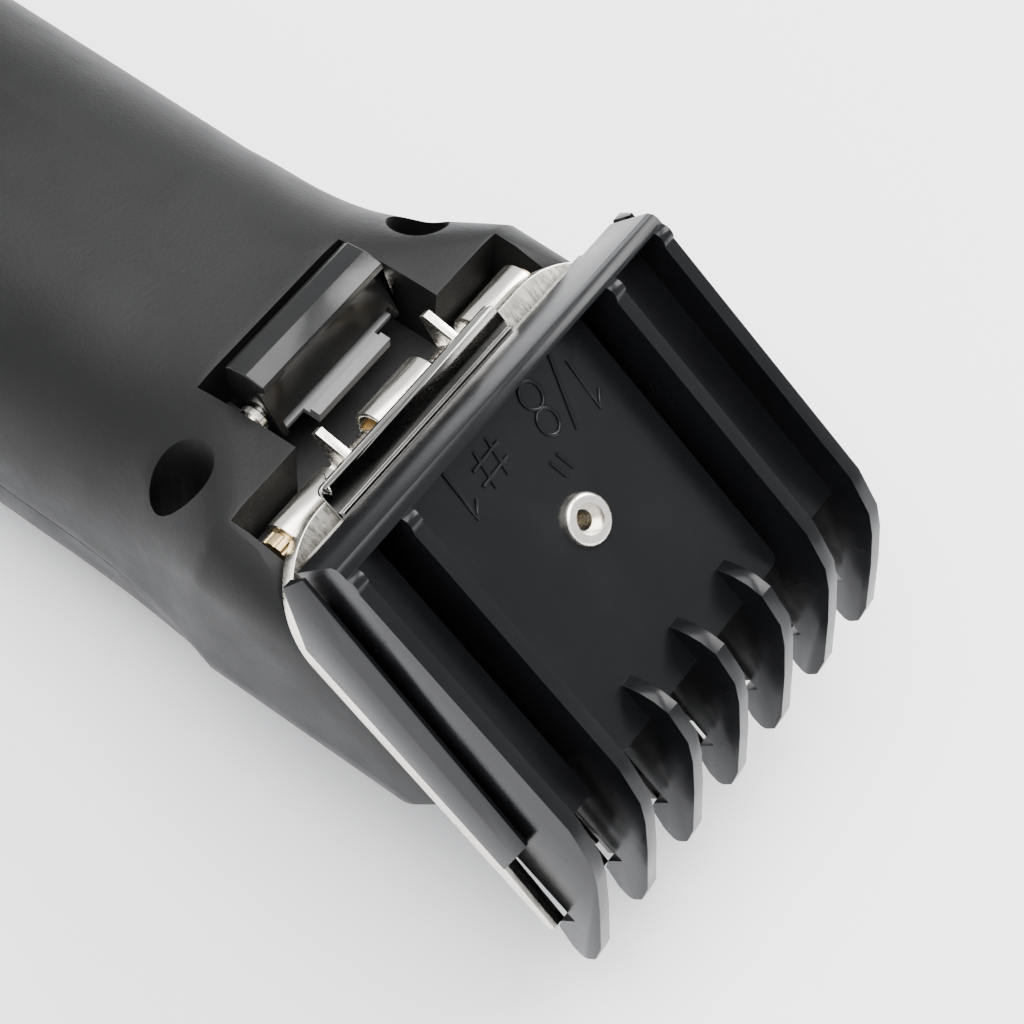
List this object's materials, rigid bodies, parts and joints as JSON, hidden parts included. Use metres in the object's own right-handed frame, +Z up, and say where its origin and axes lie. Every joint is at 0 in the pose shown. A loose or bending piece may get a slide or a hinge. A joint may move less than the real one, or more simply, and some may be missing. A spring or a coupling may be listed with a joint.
{
  "type": "hair clipper",
  "caption": "Black corded hair clipper lying on its back, with a hinged detachable blade set and a long-toothed guide comb clipped over the blade.",
  "frame": {"origin": "centre of the footprint on the surface the clipper lies on, halfway along its overall length", "axes": "+X from the tail to the blade's teeth, +Y to the side, +Z up from the surface; the clipper lies on its back"},
  "size_m": [0.194, 0.05, 0.0544],
  "materials": {
    "black_body": "fine-grained moulded nylon, faint sheen",
    "black_comb": "semi-gloss moulded plastic with polished edges",
    "grey_plastic": "moulded, matt",
    "gland_rubber": "soft moulded",
    "steel_satin": "satin nickel-plated steel",
    "steel_blade": "ground blade steel",
    "steel_dark": "dark stamped steel",
    "clip_black": "mirror black-nickel spring steel",
    "screw_zinc": "zinc-plated",
    "brass": "turned",
    "bronze": "sintered bronze",
    "motor_steel": "zinc-plated drawn can",
    "magnet": "ferrite",
    "copper": "enamelled copper wire",
    "carbon": "pressed carbon",
    "lever_nylon": "natural nylon",
    "board": "printed board with parts"
  },
  "bodies": {
    "housing": {"top_housing": "black_body", "bottom_housing": "black_body", "nose_cover": "black_body", "end_cap": "black_body", "cord_gland": "gland_rubber", "intake_screen": "steel_dark", "switch_body": "grey_plastic", "power_board": "board", "motor_can": "motor_steel", "motor_end_bell": "motor_steel", "field_magnets": "magnet", "front_bearing": "bronze", "rear_bearing": "bronze", "carbon_brushes": "carbon", "brush_holders": "brass", "brush_springs": "steel_satin", "gear_plate": "grey_plastic", "gear_post": "steel_satin", "motor_screws": "screw_zinc", "lever_pivot": "steel_satin", "front_housing_screws": "screw_zinc", "rear_housing_screws": "screw_zinc", "cover_screws": "screw_zinc", "hinge_bracket": "steel_satin", "hinge_pin": "brass", "hinge_spring": "steel_satin", "hinge_screws": "screw_zinc", "latch_pin": "steel_satin", "latch_spring": "steel_satin"},
    "latch": {"latch_lever": "black_comb", "latch_keeper": "grey_plastic"},
    "blade_unit": {"hinge_tongue": "steel_satin", "blade_socket": "steel_dark", "tension_spring": "steel_satin", "blade_screws": "screw_zinc", "comb_blade": "steel_blade"},
    "cutter": {"cutter_blade": "steel_blade"},
    "guard": {"guide_comb": "black_comb", "comb_clip": "clip_black", "comb_eyelet": "steel_satin"},
    "lever": {"drive_lever": "lever_nylon", "drive_tip": "brass"},
    "armature": {"armature_shaft": "steel_satin", "armature_core": "steel_dark", "armature_windings": "copper", "commutator": "copper", "pinion": "brass"},
    "gear": {"drive_gear": "lever_nylon", "crank_pin": "steel_satin"},
    "switch": {"switch_button": "grey_plastic"}
  },
  "joints": [
    {"name": "latch_press", "type": "hinge", "parent": "housing", "child": "latch", "pos_m": [0.04605, 0, 0.0404], "axis": [0, -1, 0], "range_deg": [0, 14], "stiffness_Nm_per_rad": 0.05, "springref_deg": -8.59},
    {"name": "blade_open", "type": "hinge", "parent": "housing", "child": "blade_unit", "pos_m": [0.05649, 0, 0.04068], "axis": [0, -1, 0], "range_deg": [0, 50]},
    {"name": "guard_slide", "type": "slide", "parent": "blade_unit", "child": "guard", "axis": [0.7986, 0, -0.6018], "range_m": [0, 0.03]},
    {"name": "cutter_stroke", "type": "slide", "parent": "blade_unit", "child": "cutter", "axis": [0, 1, 0], "range_m": [-0.0018, 0.0018]},
    {"name": "lever_swing", "type": "hinge", "parent": "housing", "child": "lever", "pos_m": [0.04, 0, 0.014], "axis": [0, 0, 1], "range_deg": [-3.5, 3.5]},
    {"name": "armature_spin", "type": "hinge", "parent": "housing", "child": "armature", "pos_m": [-0.02, 0, 0.0262], "axis": [1, 0, 0], "continuous": true},
    {"name": "gear_spin", "type": "hinge", "parent": "housing", "child": "gear", "pos_m": [0.014, 0, 0.01348], "axis": [1, 0, 0], "continuous": true},
    {"name": "switch_slide", "type": "slide", "parent": "housing", "child": "switch", "axis": [1, 0, 0], "range_m": [0, 0.0035]}
  ],
  "couplings": [
    {"joint": "lever_swing", "follows": "cutter_stroke", "rad_per_m": 33.119},
    {"joint": "gear_spin", "follows": "armature_spin", "ratio": -0.5}
  ]
}
